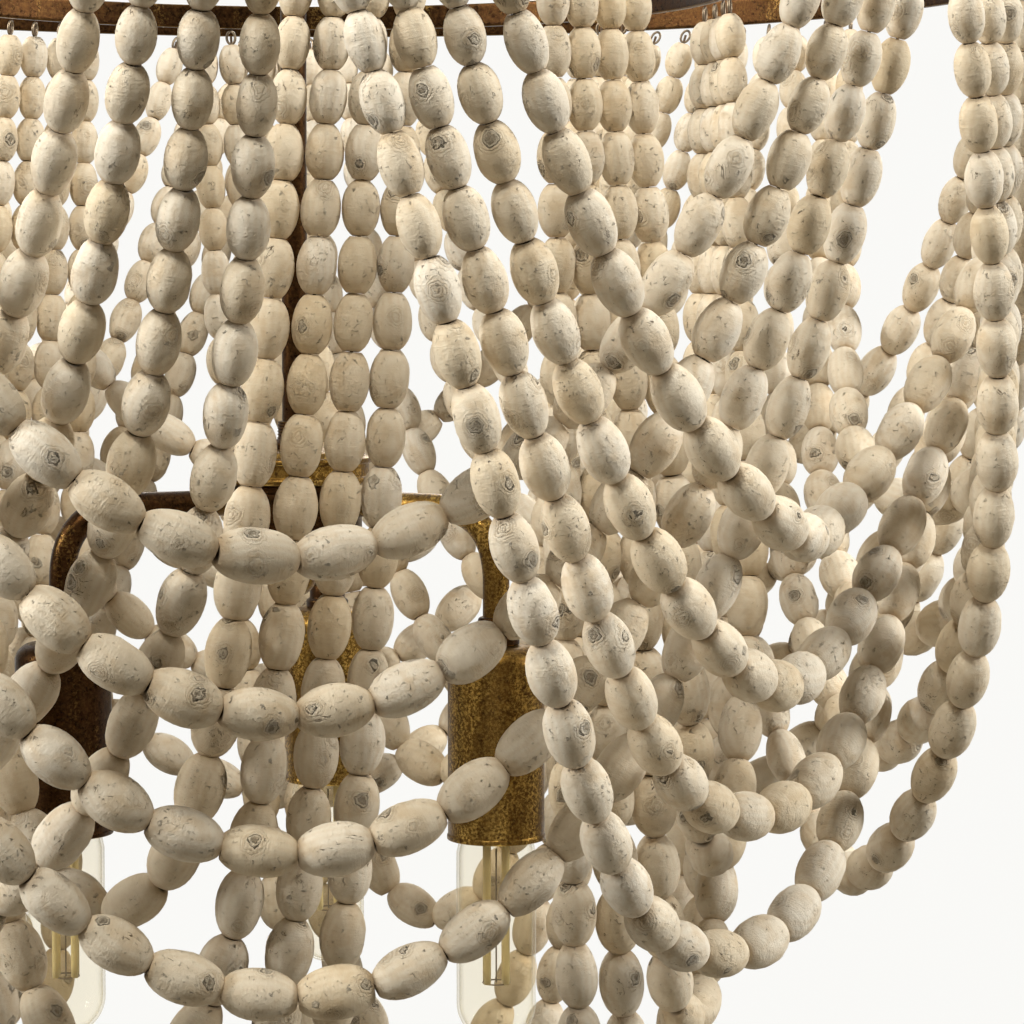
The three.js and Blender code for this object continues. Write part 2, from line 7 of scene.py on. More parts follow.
import bmesh
import bpy
import numpy as np
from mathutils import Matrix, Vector


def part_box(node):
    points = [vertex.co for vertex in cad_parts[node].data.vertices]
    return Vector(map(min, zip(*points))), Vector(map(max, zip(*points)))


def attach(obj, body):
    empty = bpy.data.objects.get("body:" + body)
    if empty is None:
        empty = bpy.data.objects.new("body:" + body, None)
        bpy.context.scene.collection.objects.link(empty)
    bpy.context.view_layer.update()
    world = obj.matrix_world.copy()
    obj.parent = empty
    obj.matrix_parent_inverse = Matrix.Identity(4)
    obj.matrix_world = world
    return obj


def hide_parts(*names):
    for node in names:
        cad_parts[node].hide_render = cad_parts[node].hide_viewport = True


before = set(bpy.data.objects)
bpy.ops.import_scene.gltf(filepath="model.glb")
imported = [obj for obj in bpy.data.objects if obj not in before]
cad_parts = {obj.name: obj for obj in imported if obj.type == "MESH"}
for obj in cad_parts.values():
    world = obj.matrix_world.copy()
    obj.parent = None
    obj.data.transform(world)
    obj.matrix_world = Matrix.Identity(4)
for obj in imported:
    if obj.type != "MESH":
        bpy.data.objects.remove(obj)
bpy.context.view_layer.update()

MM = 0.001

# Sizes and places that come from the frame


def top_of(node):
    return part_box(node)[1].z


def foot_of(node):
    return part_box(node)[0].z


def middle_of(node):
    low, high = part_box(node)
    return np.array([(low.x + high.x) / 2, (low.y + high.y) / 2])


def radius_of(node):
    low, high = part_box(node)
    return (high.x - low.x) / 2


RING_LEVEL = foot_of("outer_ring")
INNER_LEVEL = foot_of("inner_ring")

# Hoops and the sets of strands round them

RING_RADIUS = 300 * MM
INNER_RADIUS = 170 * MM
HANGING_POINTS = 8
FULL_TURN = 2 * math.pi
QUARTER_TURN = math.pi / 2
PITCH = FULL_TURN / HANGING_POINTS
INNER_SETS = 4
LAMPS = (1, 2, 3)
LINKS = (1, 2, 3)

# Strand sizes


def strand_size(half_span, drop, lean=0.0, lean_share=1.0, push=0.0, tuck=0.0):
    """Half span in degrees, lengths in mm. The lean share shapes the lean along the half chord.
    The push is how far the strands inside hold this one's middle away from the lamps.
    The tuck is how far its ends sit inside the hoop's edge."""
    lengths = {"drop": drop * MM, "lean": lean * MM, "push": push * MM, "tuck": tuck * MM}
    return {"half_span": half_span, "lean_share": lean_share, **lengths}


OUTER_STRANDS = [
    strand_size(34.5, 207, lean=16.5, lean_share=0.73),
    strand_size(37.5, 258, lean=15.2, lean_share=0.88),
    strand_size(40.5, 304, lean=18.5, lean_share=1.58, tuck=0.6),
    strand_size(43.5, 353, lean=26.0, lean_share=1.91, tuck=2.1),
]
INNER_STRANDS = [
    strand_size(23.2, 330, push=14.0),
    strand_size(27.5, 392, push=9.5),
    strand_size(31.8, 456, push=5.0),
    strand_size(36.0, 520),
]
PUSH_SPREAD = 3  # a strand is pushed out fully within a third of its half chord
TUCK_FROM = 0.85  # the tuck starts at this share of the half chord
OUTER_TAN = 0.32  # how much cream the outer beads' wash has, and the inner ones', where the larger share is painted shade for the strands inside
INNER_TAN_AND_SHADE = 0.55

# Beads, threads and hooks

BEAD_LENGTH_MIDDLE = 25.5 * MM
BEAD_LENGTH_END = 17 * MM
BEAD_RADIUS_MIDDLE = 8.75 * MM
BEAD_RADIUS_END = 5.9 * MM
GROWTH_SHARE = 0.8
BEAD_GAP = 0.22 * MM
BORE_RADIUS = 1.3 * MM
BORE_SINK = 0.3 * MM
BEAD_STATIONS = 13
BEAD_SIDES = 22
END_SHARE = 0.43  # a bead's flat end, as a share of its radius
THREAD_RADIUS = 0.6 * MM
THREAD_STATIONS = 90
THREAD_INSET = 0.45  # a thread ends this share of a hook's length below the hoop
HOOK_LENGTH = 7 * MM
HOOK_WIRE = 0.6 * MM
HOOK_INSET = 0.8 * MM
HOOK_WIDTH = 0.72  # a hook's width as a share of its height

# How much the beads differ from each other, with lengths as shares of a bead's own size

END_SCATTER = (0.88, 1.12)
FULLNESS = (1.95, 2.25)  # the oval's power, where 2 is an ellipse
SKEW = 0.03
OVALNESS = 0.022
DENT_COUNT = (1, 4)  # one to three
DENT_LEVEL = 0.6
DENT_REACH = (0.3, 0.6)
DENT_DEPTH = (0.015, 0.055)
SIZE_SCATTER = (0.975, 1.03)
TILT = 0.022  # radians
TONE_SCATTER = 0.24
PITH_DISTANCE = (12 * MM, 45 * MM)  # from the tree's pith to a bead's middle
LOG_REACH = 3  # the beads are cut within this many metres of a log's middle

RNG = np.random.default_rng(20)
UP = np.array([0.0, 0.0, 1.0])


def outward(angle):
    return np.array([math.sin(angle), -math.cos(angle), 0.0])


def sideways(angle):
    return np.array([math.cos(angle), math.sin(angle), 0.0])


# Materials

COLOUR_OUTPUT = 2  # of a Mix node, and its two colour inputs
COLOUR_A, COLOUR_B = 6, 7


def fill(tree, socket, value):
    """Sets an input to a number, a vector or a colour, or links an output to it."""
    if isinstance(value, bpy.types.NodeSocket):
        tree.links.new(value, socket)
    elif socket.type == "RGBA" and len(value) == 3:
        socket.default_value = (*value, 1.0)
    else:
        socket.default_value = value


def add_node(tree, kind, inputs=None, **settings):
    node = tree.nodes.new(kind)
    for key, value in settings.items():
        setattr(node, key, value)
    for key, value in (inputs or {}).items():
        fill(tree, node.inputs[key], value)
    return node


def blend_shaders(tree, share, first, second, output):
    """The two shaders mixed by a share, as the surface of an output node."""
    mixed = add_node(tree, "ShaderNodeMixShader", {0: share, 1: first.outputs[0], 2: second.outputs[0]})
    tree.links.new(mixed.outputs[0], output.inputs["Surface"])


class Nodes:
    """One material's node tree. What goes in is a number, a colour or another node's output,
    and what comes back is an output."""

    def __init__(self, name):
        self.material = bpy.data.materials.new(name)
        self.material.use_nodes = True
        self.tree = self.material.node_tree
        self.tree.nodes.clear()
        self.output = self.add("ShaderNodeOutputMaterial")
        self.shader = self.add("ShaderNodeBsdfPrincipled")
        self.tree.links.new(self.shader.outputs["BSDF"], self.output.inputs["Surface"])

    def add(self, kind, inputs=None, **settings):
        return add_node(self.tree, kind, inputs, **settings)

    def finish(self, inputs):
        """Fills the main shader's inputs and gives the material."""
        for key, value in inputs.items():
            fill(self.tree, self.shader.inputs[key], value)
        return self.material

    def position(self):
        return self.add("ShaderNodeTexCoord").outputs["Object"]

    def attribute(self, name, output="Fac"):
        return self.add("ShaderNodeAttribute", attribute_name=name).outputs[output]

    def stretched(self, space, scale):
        return self.add("ShaderNodeMapping", {"Vector": space, "Scale": scale}).outputs["Vector"]

    def noise(self, space, scale, detail=4.0, roughness=0.55, distortion=0.0):
        inputs = {"Vector": space, "Scale": scale, "Detail": detail}
        inputs.update({"Roughness": roughness, "Distortion": distortion})
        return self.add("ShaderNodeTexNoise", inputs).outputs["Fac"]

    def cells(self, space, scale):
        """The distance to the nearest of scattered points, and a colour for each of them."""
        inputs = {"Vector": space, "Scale": scale}
        node = self.add("ShaderNodeTexVoronoi", inputs, feature="F1")
        return node.outputs["Distance"], node.outputs["Color"]

    def spread(self, value, low, high, to_low=0.0, to_high=1.0):
        inputs = {"Value": value, "From Min": low, "From Max": high, "To Min": to_low, "To Max": to_high}
        node = self.add("ShaderNodeMapRange", inputs, interpolation_type="SMOOTHSTEP")
        return node.outputs["Result"]

    def math(self, operation, *values):
        inputs = dict(enumerate(values))
        return self.add("ShaderNodeMath", inputs, operation=operation).outputs[0]

    def times(self, a, b):
        return self.math("MULTIPLY", a, b)

    def mix(self, share, a, b, blend="MIX"):
        inputs = {0: share, COLOUR_A: a, COLOUR_B: b}
        node = self.add("ShaderNodeMix", inputs, data_type="RGBA", blend_type=blend)
        return node.outputs[COLOUR_OUTPUT]

    def bump(self, height, distance, strength=1.0, before=None):
        inputs = {"Height": height, "Distance": distance, "Strength": strength}
        if before is not None:
            inputs["Normal"] = before
        return self.add("ShaderNodeBump", inputs).outputs["Normal"]


def knots(made, grain, warp):
    """Oval knots scattered in the wood: (ring pattern, rim, torn middle), each 0 to 1."""
    cell_distance, cell_colour = made.cells(grain, 68.0)
    distance = made.math("MULTIPLY_ADD", warp, 0.34, cell_distance)
    draw = made.add("ShaderNodeSeparateColor", {"Color": cell_colour})
    present = made.spread(draw.outputs["Red"], 0.18, 0.22)
    broken = made.spread(draw.outputs["Green"], 0.38, 0.48)
    near = made.spread(distance, 0.32, 0.58, 1.0, 0.0)
    waves = made.math("SINE", made.times(distance, 84.0))
    faded = made.times(made.spread(waves, -0.7, 1.0), near)
    rings = made.times(faded, present)
    rim_in = made.spread(distance, 0.26, 0.30)
    rim_out = made.spread(distance, 0.30, 0.34, 1.0, 0.0)
    rim = made.times(made.times(rim_in, rim_out), broken)
    inside = made.spread(distance, 0.23, 0.29, 1.0, 0.0)
    rough = made.noise(grain, 1250.0, detail=4.0, roughness=0.7)
    coarse = made.spread(rough, 0.38, 0.62)
    torn = made.times(made.times(inside, coarse), broken)
    return rings, rim, torn


def bead_wood():
    """Whitewashed turned wood: growth rings, tan patches, oval knots, chips, cracks, and painted shade
    towards the bead ends.
    """
    made = Nodes("whitewashed_wood")
    grain = made.attribute("grain", "Vector")
    tone = made.attribute("tone")
    end = made.attribute("bead_end_shade")
    warp = made.noise(grain, 230.0, detail=6.0, roughness=0.68)
    rings, rim, torn = knots(made, grain, warp)

    wave = {"Vector": grain, "Scale": 120.0, "Distortion": 2.4, "Detail": 2.0, "Detail Scale": 1.2}
    growth = made.add("ShaderNodeTexWave", wave, wave_type="RINGS", rings_direction="Z").outputs["Fac"]
    patch = made.spread(made.noise(grain, 85.0, detail=3.0, distortion=0.6), 0.46, 0.72)
    cloud = made.noise(grain, 240.0, detail=5.0, roughness=0.65)
    turning = made.noise(made.stretched(grain, (0.14, 0.14, 1.0)), 1500.0, detail=3.0)
    grit = made.noise(grain, 1700.0, detail=4.0, roughness=0.7)

    white = (0.835, 0.785, 0.69)
    cream = (0.74, 0.635, 0.465)
    tan = (0.56, 0.40, 0.21)
    smoke = (0.46, 0.38, 0.27)
    chalk = (0.90, 0.86, 0.76)
    scar = (0.38, 0.29, 0.19)
    flake_white = (0.92, 0.88, 0.79)
    crack_brown = (0.20, 0.115, 0.045)
    crevice_shade_tan = (0.50, 0.36, 0.21)
    gap_shadow_brown = (0.09, 0.052, 0.028)
    colour = made.mix(tone, white, cream)
    colour = made.mix(made.times(patch, 0.42), colour, tan)
    colour = made.mix(made.times(growth, 0.16), colour, tan)
    colour = made.mix(made.times(rings, 0.32), colour, tan)
    colour = made.mix(made.spread(cloud, 0.38, 0.72, 0.0, 0.16), colour, smoke)
    colour = made.mix(made.spread(turning, 0.45, 0.75, 0.0, 0.18), colour, chalk)
    colour = made.mix(made.times(torn, 0.34), colour, scar)
    colour = made.mix(made.times(rim, 0.30), colour, chalk)

    # Flakes of wash that stand up from the wood
    flakes = made.noise(grain, 620.0, detail=4.0, roughness=0.62, distortion=0.8)
    flake = made.spread(flakes, 0.60, 0.67)
    chips = made.times(flake, made.spread(cloud, 0.50, 0.60))
    colour = made.mix(made.times(chips, 0.35), colour, flake_white)

    # Rare cracks, thin dark lines along a noise's middle value, and dark specks
    crack_space = made.stretched(grain, (1.0, 1.0, 0.45))
    crack_line = made.noise(crack_space, 115.0, detail=5.0, roughness=0.6, distortion=1.2)
    thin_low = made.spread(crack_line, 0.492, 0.499)
    thin_high = made.spread(crack_line, 0.501, 0.508, 1.0, 0.0)
    here = made.spread(made.noise(grain, 130.0, detail=1.0), 0.67, 0.72)
    crack = made.times(made.times(thin_low, thin_high), here)
    specks = made.noise(grain, 520.0, detail=3.0, roughness=0.6)
    flaw = made.math("MAXIMUM", crack, made.spread(specks, 0.765, 0.79, 0.0, 0.85))
    colour = made.mix(made.times(flaw, 0.85), colour, crack_brown)

    # Painted shade: tan towards a bead's ends, in the crevices between beads, and near black on the end
    # faces, in the gaps between them
    colour = made.mix(made.spread(end, 0.0, 0.5, 0.0, 0.42), colour, crevice_shade_tan)
    colour = made.mix(made.spread(end, 0.5, 1.0, 0.0, 0.92), colour, gap_shadow_brown)

    relief = made.bump(cloud, 0.9 * MM, 0.7)
    relief = made.bump(turning, 0.22 * MM, 0.8, relief)
    relief = made.bump(grit, 0.22 * MM, 0.8, relief)
    relief = made.bump(rings, 0.34 * MM, 1.0, relief)
    relief = made.bump(torn, 1.4 * MM, 1.0, relief)
    relief = made.bump(rim, 1.2 * MM, 1.0, relief)
    relief = made.bump(chips, 1.0 * MM, 1.0, relief)
    relief = made.bump(flaw, -0.8 * MM, 1.0, relief)
    shine = made.spread(cloud, 0.3, 0.7, 0.62, 0.86)
    inputs = {"Base Color": colour, "Roughness": shine, "Specular IOR Level": 0.3, "Normal": relief}
    return made.finish(inputs)


def brass(name, dark, mid, gold, gold_from, spots_share, roughness):
    """Antique brass: a brown patina in clouds and runs, gold specks where it is thin,
    and gold edges where it has rubbed through."""
    made = Nodes(name)
    place = made.position()
    clouds = made.noise(made.stretched(place, (1.0, 1.0, 0.22)), 75.0, detail=5.0, roughness=0.6)
    speckle = made.noise(place, 900.0, detail=5.0, roughness=0.75)
    mottle = made.noise(place, 420.0, detail=5.0, roughness=0.7)
    pointiness = made.add("ShaderNodeNewGeometry").outputs["Pointiness"]
    edges = made.spread(pointiness, 0.52, 0.58)
    colour = made.mix(made.spread(mottle, 0.30, 0.70, 0.1, 0.9), dark, mid)
    thin = made.spread(clouds, gold_from, gold_from + 0.26)
    specks = made.spread(speckle, 0.46, 0.60)
    all_specks = made.math("MAXIMUM", made.times(thin, specks), made.times(specks, spots_share))
    worn = made.math("MAXIMUM", all_specks, edges)
    colour = made.mix(made.times(worn, 0.9), colour, gold)
    colour = made.mix(made.spread(speckle, 0.30, 0.38, 0.7, 0.0), colour, dark)
    shine = made.spread(mottle, 0.3, 0.7, roughness, roughness + 0.2)
    relief = made.bump(speckle, 0.10 * MM, 0.55)
    relief = made.bump(mottle, 0.16 * MM, 0.4, relief)
    return made.finish({"Base Color": colour, "Roughness": shine, "Metallic": 1.0, "Normal": relief})


def zinc_steel():
    made = Nodes("zinc_steel")
    place = made.position()
    _, spangle = made.cells(place, 260.0)
    cloud = made.noise(place, 90.0, detail=5.0)
    grey = made.mix(cloud, (0.42, 0.42, 0.41), (0.62, 0.62, 0.60))
    spangled = made.mix(0.25, grey, spangle, "SOFT_LIGHT")
    shine = made.spread(cloud, 0.3, 0.7, 0.32, 0.5)
    relief = made.bump(cloud, 0.1 * MM, 0.4)
    return made.finish({"Base Color": spangled, "Roughness": shine, "Metallic": 1.0, "Normal": relief})


def phenolic():
    made = Nodes("phenolic")
    mottle = made.noise(made.position(), 300.0, detail=5.0)
    black = made.mix(mottle, (0.018, 0.015, 0.013), (0.05, 0.042, 0.036))
    shine = made.spread(mottle, 0.3, 0.7, 0.42, 0.6)
    relief = made.bump(mottle, 0.06 * MM, 0.5)
    return made.finish({"Base Color": black, "Roughness": shine, "Normal": relief})


def clear_glass():
    """Thin blown glass: clear face on, with vertical draw lines, and a warm amber tint at the edges that is
    painted refraction of the yellow filament rods.
    """
    made = Nodes("clear_glass")
    drawn = made.stretched(made.position(), (1.0, 1.0, 0.08))
    ripple = made.noise(drawn, 150.0, detail=2.0)
    # The warm yellow, shown at the edges, is painted refraction of the filament rods
    rod_refraction_tint = made.mix(ripple, (0.96, 0.90, 0.62), (0.97, 0.94, 0.80))
    relief = made.bump(ripple, 0.8 * MM, 0.4)
    facing = made.add("ShaderNodeLayerWeight", {"Blend": 0.35}).outputs["Facing"]
    painted_edge_share = made.spread(facing, 0.30, 1.0, 0.04, 0.55)
    clear = made.add("ShaderNodeBsdfTransparent", {"Color": (1.0, 0.987, 0.95)})
    blend_shaders(made.tree, painted_edge_share, clear, made.shader, made.output)
    inputs = {"Base Color": rod_refraction_tint, "Roughness": 0.03, "Specular IOR Level": 0.7, "Normal": relief}
    return made.finish(inputs)


def fine_grained(name, scale, detail, colours, distance, strength, roughness, metallic=0.0):
    """One fine noise between two colours, and a slight relief from it."""
    made = Nodes(name)
    grain = made.noise(made.position(), scale, detail=detail)
    colour = made.mix(grain, *colours)
    relief = made.bump(grain, distance, strength)
    inputs = {"Base Color": colour, "Roughness": roughness, "Metallic": metallic, "Normal": relief}
    return made.finish(inputs)


ROD_YELLOW = ((0.96, 0.80, 0.36), (0.99, 0.91, 0.58))
DULL_NICKEL = ((0.10, 0.075, 0.05), (0.30, 0.24, 0.17))
DARK_YARN = ((0.045, 0.026, 0.014), (0.13, 0.085, 0.05))
AGED = ((0.055, 0.026, 0.007), (0.17, 0.094, 0.022), (0.56, 0.36, 0.09))
DARK = ((0.014, 0.006, 0.003), (0.050, 0.022, 0.008), (0.40, 0.24, 0.07))
BASE = ((0.42, 0.29, 0.12), (0.68, 0.50, 0.22), (0.82, 0.64, 0.32))

MATERIALS = {
    "whitewashed_wood": bead_wood(),
    "aged_brass": brass("aged_brass", *AGED, gold_from=0.36, spots_share=0.26, roughness=0.26),
    "dark_brass": brass("dark_brass", *DARK, gold_from=0.54, spots_share=0.06, roughness=0.24),
    "base_brass": brass("base_brass", *BASE, gold_from=0.4, spots_share=0.4, roughness=0.22),
    "zinc_steel": zinc_steel(),
    "phenolic": phenolic(),
    "clear_glass": clear_glass(),
    "filament_rod": fine_grained("filament_rod", 1400.0, 3.0, ROD_YELLOW, 0.06 * MM, 0.4, 0.45),
    "dull_wire": fine_grained("dull_wire", 900.0, 3.0, DULL_NICKEL, 0.05 * MM, 0.4, 0.38, 0.9),
    "thread": fine_grained("thread", 1500.0, 2.0, DARK_YARN, 0.1 * MM, 0.6, 0.9),
}


# Meshes

WELD_DISTANCE = 1e-6
SMALL_TURN = math.cos(math.radians(20))  # a profile that turns less than this stays as it is
ROUNDED_SHARE = 0.4  # the most of a profile's step that a rounded corner takes up
HELD_SHARE = 0.48  # the furthest that the point beside a corner lies along the step
RIDGE_STEPS = 4


def new_piece(name, parts, material, body="fixture", replaced=None, values=None, weld=False):
    """A mesh object from (vertices, quads) arrays, with optional point attributes."""
    shift = 0
    moved = []
    for vertices, quads in parts:
        moved.append(np.asarray(quads) + shift)
        shift += len(vertices)
    vertices = np.concatenate([np.asarray(v) for v, _ in parts]).astype(np.float32)
    quads = np.concatenate(moved).astype(np.int32)
    mesh = bpy.data.meshes.new(name)
    mesh.vertices.add(len(vertices))
    mesh.vertices.foreach_set("co", vertices.ravel())
    mesh.loops.add(quads.size)
    mesh.loops.foreach_set("vertex_index", quads.ravel())
    mesh.polygons.add(len(quads))
    mesh.polygons.foreach_set("loop_start", np.arange(0, quads.size, 4, dtype=np.int32))
    mesh.update(calc_edges=True)
    if weld:
        built = bmesh.new()
        built.from_mesh(mesh)
        bmesh.ops.remove_doubles(built, verts=built.verts, dist=WELD_DISTANCE)
        bmesh.ops.recalc_face_normals(built, faces=built.faces)
        built.to_mesh(mesh)
        built.free()
    mesh.polygons.foreach_set("use_smooth", np.ones(len(mesh.polygons), bool))
    for key, array in (values or {}).items():
        array = np.asarray(array, np.float32)
        kind, field = ("FLOAT_VECTOR", "vector") if array.ndim == 2 else ("FLOAT", "value")
        mesh.attributes.new(key, kind, "POINT").data.foreach_set(field, array.ravel())
    mesh.materials.append(MATERIALS[material])
    piece = bpy.data.objects.new(name, mesh)
    bpy.context.scene.collection.objects.link(piece)
    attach(piece, body)
    if replaced:
        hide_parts(replaced)


def grid_quads(rows, columns, closed_rows=False):
    """Quads of a grid whose columns wrap round, and whose rows may wrap too."""
    row_steps = np.arange(rows if closed_rows else rows - 1)
    row, column = np.meshgrid(row_steps, np.arange(columns), indexing="ij")
    here, below = row * columns, (row + 1) % rows * columns
    beside = (column + 1) % columns
    corners = [here + column, here + beside, below + beside, below + column]
    return np.stack(corners, axis=-1).reshape(-1, 4)


def swept(points, radius, sides, reference, is_loop=False):
    """A round tube along points: a closed loop, or with an end point in each end's middle."""
    points = np.asarray(points, float)
    reference = np.asarray(reference, float)
    if is_loop:
        along = np.roll(points, -1, axis=0) - np.roll(points, 1, axis=0)
    else:
        along = np.gradient(points, axis=0)
    along /= np.linalg.norm(along, axis=1, keepdims=True)
    side = reference - along * (along @ reference)[:, None]
    side /= np.linalg.norm(side, axis=1, keepdims=True)
    other = np.cross(along, side)
    turn = np.linspace(0, FULL_TURN, sides, endpoint=False)
    ring = np.cos(turn)[None, :, None] * side[:, None] + np.sin(turn)[None, :, None] * other[:, None]
    rows = points[:, None] + np.asarray(radius).reshape(-1, 1, 1) * ring
    if not is_loop:
        first = np.repeat(points[:1][:, None], sides, axis=1)
        last = np.repeat(points[-1:][:, None], sides, axis=1)
        rows = np.concatenate([first, rows, last])
    return rows.reshape(-1, 3), grid_quads(len(rows), sides, closed_rows=is_loop)


def softened(profile, radius, is_loop=True, steps=3):
    """A (radius, height) profile with its corners rounded, and a point held beside each."""
    points = np.asarray(profile, float)
    count = len(points)
    soft = []
    for index, corner in enumerate(points):
        if not is_loop and index in (0, count - 1):
            soft.append(corner)
            continue
        before = points[index - 1] - corner
        after = points[(index + 1) % count] - corner
        run_in, run_out = np.linalg.norm(before), np.linalg.norm(after)
        before, after = before / run_in, after / run_out
        if before @ after < -SMALL_TURN:
            soft.append(corner)
            continue
        reach = min(radius, ROUNDED_SHARE * run_in, ROUNDED_SHARE * run_out)
        start, end = corner + before * reach, corner + after * reach
        soft.append(corner + before * min(2 * reach, HELD_SHARE * run_in))
        for share in np.linspace(0, 1, steps + 1):
            soft.append((1 - share) ** 2 * start + 2 * share * (1 - share) * corner + share**2 * end)
        soft.append(corner + after * min(2 * reach, HELD_SHARE * run_out))
    return np.array(soft)


def lathe(profile, centre=(0.0, 0.0), sides=64, is_loop=True, corner=0.5 * MM):
    """A turned body from a (radius, height) profile in metres, closed on itself or on the axis."""
    profile = softened(profile, corner, is_loop)
    turn = np.linspace(0, FULL_TURN, sides, endpoint=False)
    x = centre[0] + profile[:, :1] * np.cos(turn)
    y = centre[1] + profile[:, :1] * np.sin(turn)
    z = np.repeat(profile[:, 1:], sides, axis=1)
    return np.stack([x, y, z], axis=-1).reshape(-1, 3), grid_quads(len(profile), sides, is_loop)


def turned(name, profile, finish, slot, replaced=None, body="fixture", on_axis=False, **shape):
    """A piece that is one turned body, whose profile is a ring or starts and ends on the axis."""
    made = lathe(profile, is_loop=not on_axis, **shape)
    new_piece(name, [made], finish, body, replaced, weld=on_axis)


def arc(centre_radius, centre_height, radius, start, end, steps=10):
    """Points of a profile on an arc between two angles in degrees."""
    turns = np.radians(np.linspace(start, end, steps + 1))
    return [(centre_radius + radius * math.cos(a), centre_height + radius * math.sin(a)) for a in turns]


def ridges(radius, depth, start, end, count):
    """Points of a profile with rounded screw ridges between two heights."""
    shares = np.linspace(0, 1, count * RIDGE_STEPS + 1)
    dips = depth * (0.5 - 0.5 * np.cos(FULL_TURN * count * shares))
    return [*zip(radius - dips, start + (end - start) * shares)]


# Strands

SCALE_RANGE = 50
SCALE_STEPS = 60


def catenary_scale(half_span, drop):
    """The catenary's scale for a half span and a drop, by halving the range it lies in."""
    low, high = half_span / SCALE_RANGE, half_span * SCALE_RANGE
    for _ in range(SCALE_STEPS):
        middle = math.sqrt(low * high)
        if middle * (math.cosh(half_span / middle) - 1) > drop:
            low = middle
        else:
            high = middle
    return high


class Strand:
    """The route of one strand between two hooks on a ring, by length from its middle."""

    def __init__(self, ring_radius, top_level, size, angle):
        half_span = math.radians(size["half_span"])
        self.size = size
        self.out = outward(angle)
        self.across = sideways(angle)
        self.half_chord = ring_radius * math.sin(half_span)
        self.chord_distance = ring_radius * math.cos(half_span)
        self.scale = catenary_scale(self.half_chord, size["drop"])
        self.half_length = self.scale * math.sinh(self.half_chord / self.scale)
        self.bottom = top_level - size["drop"]

    def at(self, length):
        length = np.asarray(length, float)
        side = self.scale * np.arcsinh(length / self.scale)
        share = np.minimum(np.abs(side) / self.half_chord, 1)
        wave = np.sin(math.pi * share ** self.size["lean_share"])
        held = np.sin(math.pi / 2 * np.minimum((1 - share) * PUSH_SPREAD, 1))
        lean = self.size["push"] * held - self.size["lean"] * np.sign(side) * wave
        height = self.bottom + self.scale * (np.cosh(side / self.scale) - 1)
        point = (self.chord_distance + lean)[..., None] * self.out + side[..., None] * self.across
        from_axis = np.linalg.norm(point, axis=-1, keepdims=True)
        tuck = self.size["tuck"] * np.clip((share - TUCK_FROM) / (1 - TUCK_FROM), 0, 1)
        point -= point / from_axis * tuck[..., None]
        point[..., 2] = height
        return point


def bead_plan(half_length):
    """(start, end, radius) of each bead from the strand's middle outwards."""
    fill = half_length - HOOK_LENGTH
    lengths = []
    used = 0.0
    while used < fill:
        share = min(used / fill, 1) ** (1 / GROWTH_SHARE)
        lengths.append(BEAD_LENGTH_MIDDLE + (BEAD_LENGTH_END - BEAD_LENGTH_MIDDLE) * share)
        used += lengths[-1]
    ends = np.cumsum(lengths) * fill / used
    starts = np.concatenate([[0.0], ends[:-1]])
    share = ((starts + ends) / 2 / fill) ** (1 / GROWTH_SHARE)
    radii = BEAD_RADIUS_MIDDLE + (BEAD_RADIUS_END - BEAD_RADIUS_MIDDLE) * share
    return [*zip(starts, ends, radii)]


CROWDING = math.pi / 2 * 0.9  # how closely the stations crowd at a bead's ends
END_SHADE_FROM = 0.74  # the painted crevice shade starts at this share of the half length


def bead_arrays(half, radius):
    """One turned bead about its own Z axis: an oval with flat ends, a bore, dents and a wobble.
    It returns the vertices, and for each the share of painted shade at the bead's ends."""
    station = np.linspace(-1, 1, BEAD_STATIONS)
    height = np.sin(station * CROWDING) / math.sin(CROWDING)
    end_share = END_SHARE * RNG.uniform(*END_SCATTER)
    fullness = RNG.uniform(*FULLNESS)
    profile = np.sqrt(1 - (1 - end_share**2) * np.abs(height) ** fullness)
    skew = RNG.normal(0, SKEW)
    profile = profile * (1 + skew * height * (1 - height**2))
    turn = np.linspace(0, FULL_TURN, BEAD_SIDES, endpoint=False)
    oval = 1 + RNG.uniform(0, OVALNESS) * np.cos(2 * (turn - RNG.uniform(0, math.pi)))
    body_radius = radius * profile[:, None] * oval[None, :]
    body_height = half * height[:, None] + 0 * turn[None, :]

    # Flats and dents, where the turned bead was knocked or sanded
    for _ in range(RNG.integers(*DENT_COUNT)):
        where = RNG.uniform(0, FULL_TURN)
        level = RNG.uniform(-DENT_LEVEL, DENT_LEVEL) * half
        reach = RNG.uniform(*DENT_REACH) * radius
        depth = RNG.uniform(*DENT_DEPTH) * radius
        gap = np.angle(np.exp(1j * (turn - where)))[None, :] * radius
        distance = np.hypot(gap, body_height - level) / reach
        body_radius -= depth * np.clip(1 - distance**2, 0, 1)

    # The outside from one end to the other, then the bore back again
    bore = np.full((1, BEAD_SIDES), BORE_RADIUS)
    r = np.concatenate([bore, body_radius, bore])
    foot = np.full((1, BEAD_SIDES), -half + BORE_SINK)
    z = np.concatenate([foot, body_height, -foot])
    vertices = np.stack([r * np.cos(turn), r * np.sin(turn), z], axis=-1).reshape(-1, 3)
    # Painted crevice shade grows towards the ends and is full on the end faces between beads
    end_shade = np.zeros_like(r)
    end_shade[1:-1] = 0.5 * np.clip((np.abs(height)[:, None] - END_SHADE_FROM) / (1 - END_SHADE_FROM), 0, 1) ** 1.5
    end_shade[0] = end_shade[-1] = 1.0
    return vertices, end_shade.ravel()


BEAD_QUADS = grid_quads(BEAD_STATIONS + 2, BEAD_SIDES, closed_rows=True)


